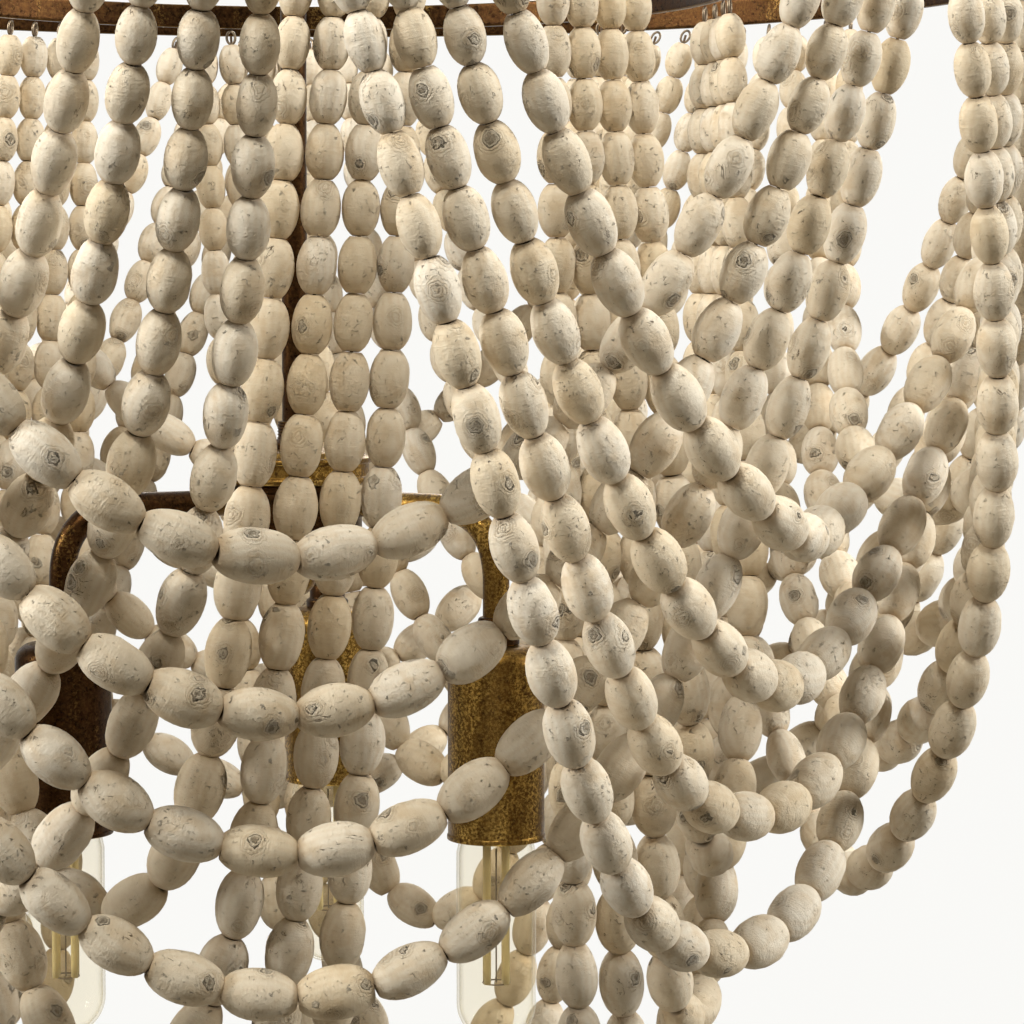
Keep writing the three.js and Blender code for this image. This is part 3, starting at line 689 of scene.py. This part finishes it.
def place_beads(strand, plan, tan_and_shade_share):
    """All beads of a strand as one array of vertices, with their grain, tone and end values."""
    vertices, quads, grains, tones, ends = [], [], [], [], []
    both = [(a, b, r, 1) for a, b, r in plan] + [(a, b, r, -1) for a, b, r in plan]
    for start, end, radius, sign in both:
        low, high = strand.at(sign * start), strand.at(sign * end)
        axis = high - low
        length = np.linalg.norm(axis)
        axis = axis / length + RNG.normal(0, TILT, 3)
        axis /= np.linalg.norm(axis)
        side = strand.out - axis * (axis @ strand.out)
        side /= np.linalg.norm(side)
        other = np.cross(axis, side)
        local, end_shade = bead_arrays((length - BEAD_GAP) / 2, radius * RNG.uniform(*SIZE_SCATTER))
        centre = (low + high) / 2
        world = centre + local @ np.stack([side, other, axis])
        spin = RNG.uniform(0, FULL_TURN)
        pith = RNG.uniform(*PITH_DISTANCE)
        along = RNG.uniform(-LOG_REACH, LOG_REACH)
        offset = np.array([pith * math.cos(spin), pith * math.sin(spin), along])
        quads.append(BEAD_QUADS + len(vertices) * len(local))
        vertices.append(world)
        grains.append(local + offset)
        tone = np.clip(tan_and_shade_share + RNG.normal(0, TONE_SCATTER), 0, 1)
        tones.append(np.full(len(local), tone))
        ends.append(end_shade)
    values = {
        "grain": np.concatenate(grains),
        "tone": np.concatenate(tones),
        "bead_end_shade": np.concatenate(ends),
    }
    return (np.concatenate(vertices), np.concatenate(quads)), values


def thread_arrays(strand):
    """The thread through the beads and up to the hooks."""
    reach = strand.half_length - HOOK_LENGTH * THREAD_INSET
    route = strand.at(np.linspace(-reach, reach, THREAD_STATIONS))
    return swept(route, THREAD_RADIUS, 5, strand.out)


def hook_arrays(strand, sign):
    """A small wire ring that hangs under the hoop and takes the thread's end."""
    top = strand.at(sign * (strand.half_length - HOOK_INSET))
    foot = strand.at(sign * (strand.half_length - HOOK_LENGTH))
    middle = (top + foot) / 2
    half = np.linalg.norm(top - foot) / 2 - HOOK_WIRE / 2
    up = (top - foot) / np.linalg.norm(top - foot)
    turn = np.linspace(0, FULL_TURN, 16, endpoint=False)
    wide = HOOK_WIDTH * np.cos(turn)[:, None] * strand.across
    points = middle + half * (wide + np.sin(turn)[:, None] * up)
    return swept(points, HOOK_WIRE, 6, np.cross(strand.across, up), is_loop=True)


def build_strand(label, ring_radius, top_level, size, angle, tan_and_shade_share, replaced=None):
    strand = Strand(ring_radius, top_level, size, angle)
    wood = "whitewashed_wood"
    beads, values = place_beads(strand, bead_plan(strand.half_length), tan_and_shade_share)
    new_piece(f"{label}_beads", [beads], wood, replaced=replaced, values=values)
    new_piece(f"{label}_thread", [thread_arrays(strand)], "thread", weld=True)
    hooks = [hook_arrays(strand, sign) for sign in (-1, 1)]
    new_piece(f"{label}_hooks", hooks, "dull_wire")


def all_strands():
    solid_names = {0: "swag_upper", 3: "swag_lower"}
    for place in range(HANGING_POINTS):
        for order, size in enumerate(OUTER_STRANDS):
            replaced = f"{solid_names[order]}_{place + 1}" if order in solid_names else None
            label = f"swag_{place + 1}_{order + 1}"
            build_strand(label, RING_RADIUS, RING_LEVEL, size, PITCH * place, OUTER_TAN, replaced)
    for place in range(INNER_SETS):
        angle = FULL_TURN * place / INNER_SETS - PITCH / 2
        for order, size in enumerate(INNER_STRANDS):
            replaced = f"inner_loop_{place + 1}" if order == len(INNER_STRANDS) - 1 else None
            label = f"loop_{place + 1}_{order + 1}"
            build_strand(label, INNER_RADIUS, INNER_LEVEL, size, angle, INNER_TAN_AND_SHADE, replaced)


all_strands()

# Ceiling fittings, chain and stem

ROUND = 96  # sides of a large turned body


def box_screws():
    for side in ("left", "right"):
        node = f"box_screw_{side}"
        foot, head = foot_of(node), radius_of(node)
        shank, head_top, tip = 2 * MM, foot + 2.5 * MM, top_of(node)
        profile = [(0.0, foot), (0.55 * head, foot + 0.15 * MM), (head, foot + 1.5 * MM)]
        profile += [(head, head_top), (shank, head_top)]
        profile += ridges(shank, 0.3 * MM, head_top + 0.2 * MM, tip - 0.3 * MM, 3)
        profile += [(0.0, tip)]
        turned(f"{node}_turned", profile, "zinc_steel", "zinc_steel", node, "ceiling_mount",
               on_axis=True, centre=middle_of(node), sides=32, corner=0.2 * MM)


def canopy():
    foot, radius = foot_of("canopy"), 65 * MM
    shelf, wall, shoulder = foot + 4 * MM, 1.5 * MM, 9 * MM
    crown, rise, hole = 18 * MM, 4 * MM, 5.2 * MM
    profile = [(hole, foot), (crown - rise, foot), (crown, shelf)]
    profile += arc(radius - shoulder, shelf + shoulder, shoulder, -90, 0)
    profile += [(radius, -0.4 * MM), (radius - wall, -0.4 * MM)]
    profile += arc(radius - shoulder, shelf + shoulder, shoulder - wall, 0, -90)
    profile += [(crown + wall, shelf + wall), (crown - rise, foot + wall), (hole, foot + wall)]
    turned("canopy_spun", profile, "dark_brass", "dark_brass", "canopy", "ceiling_mount", sides=128)


def nipple():
    foot, top, radius = foot_of("threaded_nipple"), top_of("threaded_nipple"), 4.8 * MM
    profile = [(0.0, foot), (radius - 0.5 * MM, foot)]
    profile += ridges(radius, 0.45 * MM, foot + 0.3 * MM, top - 0.3 * MM, 30)
    profile += [(radius - 0.5 * MM, top), (0.0, top)]
    turned("nipple_thread", profile, "zinc_steel", "zinc_steel", "threaded_nipple", "ceiling_mount",
           on_axis=True, sides=40, corner=0.1 * MM)


EYE_RADIUS = 9 * MM
EYE_WIRE = 2.2 * MM
NUT_HEIGHT = 13 * MM


def eye_ring(centre):
    turn = np.linspace(0, FULL_TURN, 64, endpoint=False)
    across, up = EYE_RADIUS * np.cos(turn), EYE_RADIUS * np.sin(turn)
    points = np.stack([across, 0 * turn, centre + up], axis=-1)
    return swept(points, EYE_WIRE, 20, (0.0, 1.0, 0.0), is_loop=True)


def screw_eyes():
    top, foot = top_of("canopy_screw_eye"), foot_of("canopy_screw_eye")
    base = top - NUT_HEIGHT
    nut, hole, floor_of_hole = 11 * MM, 5.5 * MM, top - 9 * MM
    profile = [(0.0, base), (5 * MM, base), (7 * MM, base + 0.8 * MM), (nut, base + NUT_HEIGHT / 3)]
    profile += [(nut, top - 2 * MM), (nut - 0.8 * MM, top), (hole, top), (hole, floor_of_hole)]
    profile += [(0.0, floor_of_hole)]
    parts = [lathe(profile, is_loop=False), eye_ring(foot + EYE_RADIUS + EYE_WIRE)]
    new_piece("canopy_eye_turned", parts, "dark_brass", "ceiling_mount",
              "canopy_screw_eye", weld=True)

    top, foot = top_of("stem_screw_eye"), foot_of("stem_screw_eye")
    crest = foot + NUT_HEIGHT
    nut = 9 * MM
    profile = [(0.0, foot), (nut - 0.8 * MM, foot), (nut, foot + 1 * MM), (nut, crest - NUT_HEIGHT / 3)]
    profile += [(7 * MM, crest - 1.2 * MM), (5 * MM, crest), (0.0, crest)]
    parts = [lathe(profile, is_loop=False), eye_ring(top - EYE_RADIUS - EYE_WIRE)]
    new_piece("stem_eye_turned", parts, "aged_brass", replaced="stem_screw_eye", weld=True)


def chain():
    half_width, wire = 8 * MM, 2 * MM
    for number in LINKS:
        node = f"chain_link_{number}"
        across = np.array([1.0, 0.0, 0.0]) if number == 2 else np.array([0.0, 1.0, 0.0])
        high = top_of(node) - wire - half_width
        low = foot_of(node) + wire + half_width
        points = []
        for centre, start in ((high, 0.0), (low, math.pi)):
            for turn in np.linspace(start, start + math.pi, 24):
                reach = half_width * (math.cos(turn) * across + math.sin(turn) * UP)
                points.append(centre * UP + reach)
        ring = swept(points, wire, 18, np.cross(across, UP), is_loop=True)
        new_piece(f"{node}_wire", [ring], "dark_brass", f"link_{number}", node)


def stem():
    foot, top, radius = foot_of("stem"), top_of("stem"), 5 * MM
    profile = [(radius - 1 * MM, foot), (radius, foot), (radius, top), (radius - 1 * MM, top)]
    turned("stem_tube", profile, "dark_brass", "aged_brass", "stem", sides=48)


# Swag frame


def hoop(node, radius, thickness):
    foot, top = foot_of(node), top_of(node)
    inside, outside = radius - thickness / 2, radius + thickness / 2
    profile = [(inside, foot), (outside, foot), (outside, top), (inside, top)]
    turned(f"{node}_band", profile, "dark_brass", "aged_brass", node, sides=288, corner=0.8 * MM)


def spider():
    foot, top, radius, bore = foot_of("frame_spider"), top_of("frame_spider"), 13 * MM, 5.5 * MM
    profile = [(bore, foot), (radius, foot), (radius, top), (bore, top)]
    parts = [lathe(profile, corner=1.2 * MM)]
    spoke = 3 * MM
    level = UP * (RING_LEVEL + top_of("outer_ring")) / 2
    reach = RING_RADIUS - 1.8 * MM
    for quarter in range(4):
        away = outward(quarter * QUARTER_TURN)
        start, end = away * (radius - 2 * MM), away * reach
        points = [start + (end - start) * s + level for s in np.linspace(0, 1, 12)]
        parts.append(swept(points, spoke, 24, UP))
        weld_at = away * (radius + 0.5 * MM) + level
        fillet = [weld_at + away * s for s in (-1.5 * MM, 0.0, 1.2 * MM)]
        parts.append(swept(fillet, [3.9 * MM, 3.8 * MM, 3.05 * MM], 24, UP))
    new_piece("spider_frame", parts, "dark_brass", replaced="frame_spider", weld=True)


# Hub


def hub():
    bore = 5.4 * MM
    foot, top = foot_of("stem_collar"), top_of("stem_collar")
    radius, waist = 8.5 * MM, 6.9 * MM
    profile = [(bore, foot), (radius, foot), (radius, foot + 2.2 * MM), (waist, foot + 4 * MM)]
    profile += ridges(waist, 0.4 * MM, foot + 4.4 * MM, top - 0.4 * MM, 5)
    profile += [(bore, top)]
    turned("collar_turned", profile, "dark_brass", "dark_brass", "stem_collar", sides=56, corner=0.25 * MM)

    foot, top, radius = foot_of("hub_cap"), top_of("hub_cap"), 30 * MM
    profile = [(bore, foot), (radius - 2 * MM, foot)]
    profile += arc(radius - 1.5 * MM, foot + 1.6 * MM, 1.5 * MM, -60, 75, 6)
    profile += [(radius - 1.2 * MM, foot + 3.6 * MM), (radius - 1.2 * MM, top - 5 * MM)]
    profile += arc(radius - 1.4 * MM, top - 3.9 * MM, 1.4 * MM, -70, 100, 6)
    profile += [(26 * MM, top - 0.5 * MM), (24 * MM, top), (bore, top)]
    turned("hub_cap_turned", profile, "aged_brass", "aged_brass", "hub_cap", sides=ROUND, corner=0.4 * MM)

    # The hub body, under the cap, takes the dark brass as painted shade
    foot, top, radius = foot_of("hub_body"), top_of("hub_body"), 26 * MM
    profile = [(bore, foot), (radius - 4 * MM, foot)]
    profile += arc(radius - 4 * MM, foot + 4 * MM, 4 * MM, -80, 0, 6)
    step = radius - 0.8 * MM
    profile += [(radius, top - 3 * MM), (step, top - 2.2 * MM), (step, top), (bore, top)]
    turned("hub_body_turned", profile, "dark_brass", "dark_brass", "hub_body", sides=ROUND, corner=0.4 * MM)

    foot, top = foot_of("bottom_finial"), top_of("bottom_finial")
    plate, ball_radius, rim = top - 4 * MM, 8 * MM, 12 * MM
    ball = plate - ball_radius
    profile = [(0.0, foot), (1.6 * MM, foot + 0.5 * MM), (2.5 * MM, ball - 7.6 * MM)]
    profile += arc(0.0, ball, ball_radius, -68, 52, 10)
    profile += [(4.6 * MM, plate - 1.2 * MM), (rim - 1 * MM, plate), (rim, plate + 1 * MM)]
    profile += [(rim, top - 1 * MM), (rim - 1 * MM, top), (0.0, top)]
    turned("finial_turned", profile, "aged_brass", "aged_brass", "bottom_finial",
           on_axis=True, sides=56, corner=0.3 * MM)


# Lamps

HUB_SIDE = 26.3 * MM  # an arm starts this far from the middle


# The first lamp's arm and cup take the dark brass as painted shade; the other two take the aged brass
def arm_finish_with_shade(number):
    return "dark_brass" if number == 1 else "aged_brass"


def arm(number, centre):
    """A tube level out of the hub, then bent straight down into its socket."""
    radius, bend = 5 * MM, 28 * MM
    reach = np.linalg.norm(centre)
    away = np.array([*(centre / reach), 0.0])
    level = top_of(f"arm_{number}") - radius
    foot = foot_of(f"arm_{number}")
    corner = away * reach + UP * level
    start = away * HUB_SIDE + UP * level
    bend_start, bend_end = corner - away * bend, corner - UP * bend
    line = [start + (bend_start - start) * s for s in np.linspace(0, 1, 8)[:-1]]
    curve = [(1 - s) ** 2 * bend_start + 2 * s * (1 - s) * corner + s**2 * bend_end
             for s in np.linspace(0, 1, 28)]
    end = away * reach + UP * foot
    drop = [bend_end + (end - bend_end) * s for s in np.linspace(0, 1, 5)[1:]]
    tube = swept(line + curve + drop, radius, 32, np.cross(away, UP))
    seat = [start + away * s for s in (0.0, 1.6 * MM, 2.2 * MM)]
    rim = swept(seat, [6.6 * MM, 6.6 * MM, 5.2 * MM], 32, np.cross(away, UP))
    new_piece(f"arm_{number}_tube", [tube, rim], arm_finish_with_shade(number),
              replaced=f"arm_{number}", weld=True)


def socket(number, centre):
    nut, cup, holder = f"socket_nut_{number}", f"socket_cup_{number}", f"lampholder_{number}"
    bore = 5.3 * MM
    foot, top = foot_of(nut), top_of(nut)
    radius, waist = 8.8 * MM, 7.4 * MM
    profile = [(bore, foot), (radius, foot), (radius, foot + 3 * MM), (waist, foot + 4 * MM)]
    profile += [(waist, top - 3.5 * MM), (6.6 * MM, top - 0.6 * MM), (bore, top)]
    turned(f"{nut}_turned", profile, "dark_brass", "dark_brass", nut, centre=centre, sides=48)

    foot, top, radius, wall = foot_of(cup), top_of(cup), 18.5 * MM, 1.5 * MM
    shoulder = 7 * MM
    profile = [(bore, top - wall), (radius - wall - shoulder, top - wall)]
    profile += arc(radius - shoulder, top - shoulder, shoulder - wall, 80, 0, 8)
    profile += [(radius - wall, foot + 0.5 * MM), (radius - wall, foot), (radius, foot)]
    profile += [(radius, foot + 1.6 * MM), (radius - 0.35 * MM, foot + 2.1 * MM)]
    profile += arc(radius - 0.35 * MM - shoulder, top - shoulder, shoulder, 0, 82, 10)
    profile += [(bore, top)]
    turned(f"{cup}_spun", profile, arm_finish_with_shade(number), "aged_brass", cup,
           centre=centre, sides=ROUND, corner=0.4 * MM)

    foot, top, radius, inside = foot_of(holder), top_of(holder), 16 * MM, 13.6 * MM
    roof, slope = top - 8 * MM, 7 * MM
    profile = [(0.0, roof), (inside, roof), (inside, foot), (radius, foot)]
    profile += [(radius, top - slope), (radius - slope, top), (0.0, top)]
    turned(f"{holder}_moulded", profile, "phenolic", "phenolic", holder, on_axis=True, centre=centre)


def bulb(number, centre):
    base, glass, wires = f"bulb_base_{number}", f"bulb_glass_{number}", f"bulb_filament_{number}"
    body = f"bulb_{number}"
    foot, top, radius = foot_of(base), top_of(base), 13 * MM
    shoulder = top - 5 * MM
    profile = [(0.0, foot), (radius - 0.4 * MM, foot), (radius, foot + 1.2 * MM)]
    profile += ridges(radius, 1.1 * MM, foot + 2 * MM, shoulder - 1 * MM, 6)
    profile += [(radius - 2 * MM, shoulder), (5 * MM, top - 2.5 * MM), (4.4 * MM, top - 0.4 * MM)]
    profile += [(2 * MM, top), (0.0, top)]
    turned(f"{base}_rolled", profile, "base_brass", "base_brass", base, body,
           on_axis=True, centre=centre, sides=56, corner=0.3 * MM)

    foot, top, wall, radius, neck = foot_of(glass), top_of(glass), 1 * MM, 15 * MM, 12.4 * MM
    dome = foot + radius
    waist = top - 30 * MM
    full = waist - 12 * MM
    profile = arc(0.0, dome, radius, -90, 0, 14)
    profile += [(radius, full), (neck, waist), (neck, top), (neck - wall, top)]
    profile += [(neck - wall, waist), (radius - wall, full)]
    profile += arc(0.0, dome, radius - wall, 0, -90, 14)
    turned(f"{glass}_blown", profile, "clear_glass", "clear_glass", glass, body,
           on_axis=True, centre=centre, sides=72, corner=5 * MM)

    top = top_of(wires)
    low = foot_of(wires)
    mount_foot = top - 40 * MM
    middle = np.array([*centre, 0.0])
    profile = [(0.0, mount_foot - 1 * MM), (1.6 * MM, mount_foot), (1.5 * MM, top - 16 * MM)]
    profile += [(3 * MM, top - 9 * MM), (7 * MM, top - 1 * MM), (7 * MM, top), (0.0, top)]
    turned(f"{wires}_mount", profile, "clear_glass", "filament_wire", None, body,
           on_axis=True, centre=centre, sides=32, corner=1.5 * MM)

    rods, supports = [], []
    rod_top, rod_foot, spread = mount_foot + 14 * MM, low + 5 * MM, 5 * MM
    for quarter in range(4):
        away = outward(QUARTER_TURN / 2 + quarter * QUARTER_TURN)
        span = [middle + away * spread + UP * h for h in np.linspace(rod_foot, rod_top, 12)]
        rods.append(swept(span, 1.35 * MM, 16, sideways(quarter * QUARTER_TURN)))
        bends = [(1.0 * MM, mount_foot + 3 * MM), (2.2 * MM, mount_foot + 8 * MM)]
        bends += [(4.6 * MM, rod_top + 3.4 * MM), (spread, rod_top + 2.6 * MM)]
        bends += [(spread, rod_top - 0.5 * MM)]
        bent = [middle + away * reach + UP * h for reach, h in bends]
        beside = sideways(QUARTER_TURN / 2 + quarter * QUARTER_TURN)
        supports.append(swept(bent, 0.28 * MM, 8, beside))
    turn = np.linspace(0, FULL_TURN, 40, endpoint=False)
    circle = np.stack([np.cos(turn), np.sin(turn), 0 * turn], axis=-1)
    ring = middle + spread * circle + UP * rod_foot
    supports.append(swept(ring, 0.3 * MM, 8, UP, is_loop=True))
    stalk = [middle + UP * h for h in np.linspace(rod_foot, mount_foot - 0.5 * MM, 6)]
    supports.append(swept(stalk, 0.3 * MM, 8, (1.0, 0.0, 0.0)))
    new_piece(f"{wires}_rods", rods, "filament_rod", body, wires, weld=True)
    new_piece(f"{wires}_supports", supports, "dull_wire", body, weld=True)


box_screws()
canopy()
nipple()
screw_eyes()
chain()
stem()
hoop("outer_ring", RING_RADIUS, 3 * MM)
hoop("inner_ring", INNER_RADIUS, 3 * MM)
spider()
hub()
for lamp_number in LAMPS:
    lamp_centre = middle_of(f"socket_cup_{lamp_number}")
    arm(lamp_number, lamp_centre)
    socket(lamp_number, lamp_centre)
    bulb(lamp_number, lamp_centre)

# The flat mounting bar stays as the CAD has it
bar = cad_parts["mounting_bar"]
bar.data.materials.clear()
bar.data.materials.append(MATERIALS["zinc_steel"])

# Stage, lamps and camera

SEEN_WHITE = (0.955, 0.95, 0.925, 1.0)
FLOOR_COLOUR = (0.20, 0.175, 0.135, 1.0)
FLOOR_LEVEL = -1.6
FLOOR_HALF = 6.0
SKY_COLOUR = (1.0, 0.82, 0.54, 1.0)
SKY_STRENGTH = 0.045
LAMP_TARGET = (0.0, 0.0, -0.45)
# name, place, size, watts, colour
LAMP_LIST = [
    ("key_right", (2.8, -0.45, 0.8), (0.8, 1.1), 99.0, (1.0, 0.965, 0.89)),
    ("key_left", (-2.75, -0.75, 0.8), (0.8, 1.1), 104.0, (1.0, 0.965, 0.89)),
    ("front_top", (-0.4, -1.5, 1.9), (0.5, 0.5), 50.0, (1.0, 0.93, 0.80)),
    ("back", (0.4, 2.7, 0.9), (1.2, 1.2), 30.0, (1.0, 0.95, 0.87)),
]
CAMERA_PLACE = (0.0, -1.25, -0.356)
CAMERA_PITCH = math.radians(3.79)
CAMERA_YAW = math.radians(3.88)
CAMERA_LENS = 112.5
CAMERA_SENSOR = 36.0
CAMERA_NEAR = 0.05


def seen_directly(tree):
    """The output that is 1 on rays from the camera, a mirror or glass."""
    path = add_node(tree, "ShaderNodeLightPath")
    seen = path.outputs["Is Camera Ray"]
    for ray in ("Is Glossy Ray", "Is Transmission Ray"):
        inputs = {0: seen, 1: path.outputs[ray]}
        seen = add_node(tree, "ShaderNodeMath", inputs, operation="MAXIMUM").outputs[0]
    return seen


def floor():
    """A wide matt floor below the chandelier, which cameras, mirrors and glass see as pale white."""
    made = Nodes("pale_floor")
    made.finish({"Base Color": FLOOR_COLOUR, "Roughness": 0.95, "Specular IOR Level": 0.1})
    white = made.add("ShaderNodeEmission", {"Color": SEEN_WHITE})
    blend_shaders(made.tree, seen_directly(made.tree), made.shader, white, made.output)
    mesh = bpy.data.meshes.new("floor")
    signs = [(-1, -1), (1, -1), (1, 1), (-1, 1)]
    corners = [(x * FLOOR_HALF, y * FLOOR_HALF, FLOOR_LEVEL) for x, y in signs]
    mesh.from_pydata(corners, [], [range(4)])
    mesh.materials.append(made.material)
    ground = bpy.data.objects.new("floor", mesh)
    bpy.context.scene.collection.objects.link(ground)


def surroundings():
    """A dim warm sky that cameras, mirrors and glass see as pale white."""
    world = bpy.data.worlds.new("studio")
    world.use_nodes = True
    tree = world.node_tree
    sky = tree.nodes["Background"]
    sky.inputs["Color"].default_value = SKY_COLOUR
    sky.inputs["Strength"].default_value = SKY_STRENGTH
    white = add_node(tree, "ShaderNodeBackground", {"Color": SEEN_WHITE})
    blend_shaders(tree, seen_directly(tree), sky, white, tree.nodes["World Output"])
    bpy.context.scene.world = world


def area_lamp(name, place, size, power, colour):
    data = bpy.data.lights.new(name, "AREA")
    data.shape = "RECTANGLE"
    data.size, data.size_y = size
    data.energy = power
    data.color = colour
    lamp = bpy.data.objects.new(name, data)
    lamp.location = place
    aim = Vector(LAMP_TARGET) - Vector(place)
    lamp.rotation_euler = aim.to_track_quat("-Z", "Y").to_euler()
    bpy.context.scene.collection.objects.link(lamp)


def add_camera():
    data = bpy.data.cameras.new("camera")
    data.lens = CAMERA_LENS
    data.sensor_width = CAMERA_SENSOR
    data.clip_start = CAMERA_NEAR
    camera = bpy.data.objects.new("camera", data)
    camera.location = CAMERA_PLACE
    camera.rotation_euler = (math.pi / 2 - CAMERA_PITCH, 0.0, -CAMERA_YAW)
    bpy.context.scene.collection.objects.link(camera)
    bpy.context.scene.camera = camera


for lamp_values in LAMP_LIST:
    area_lamp(*lamp_values)
floor()
surroundings()
add_camera()
bpy.context.scene.view_settings.view_transform = "Standard"
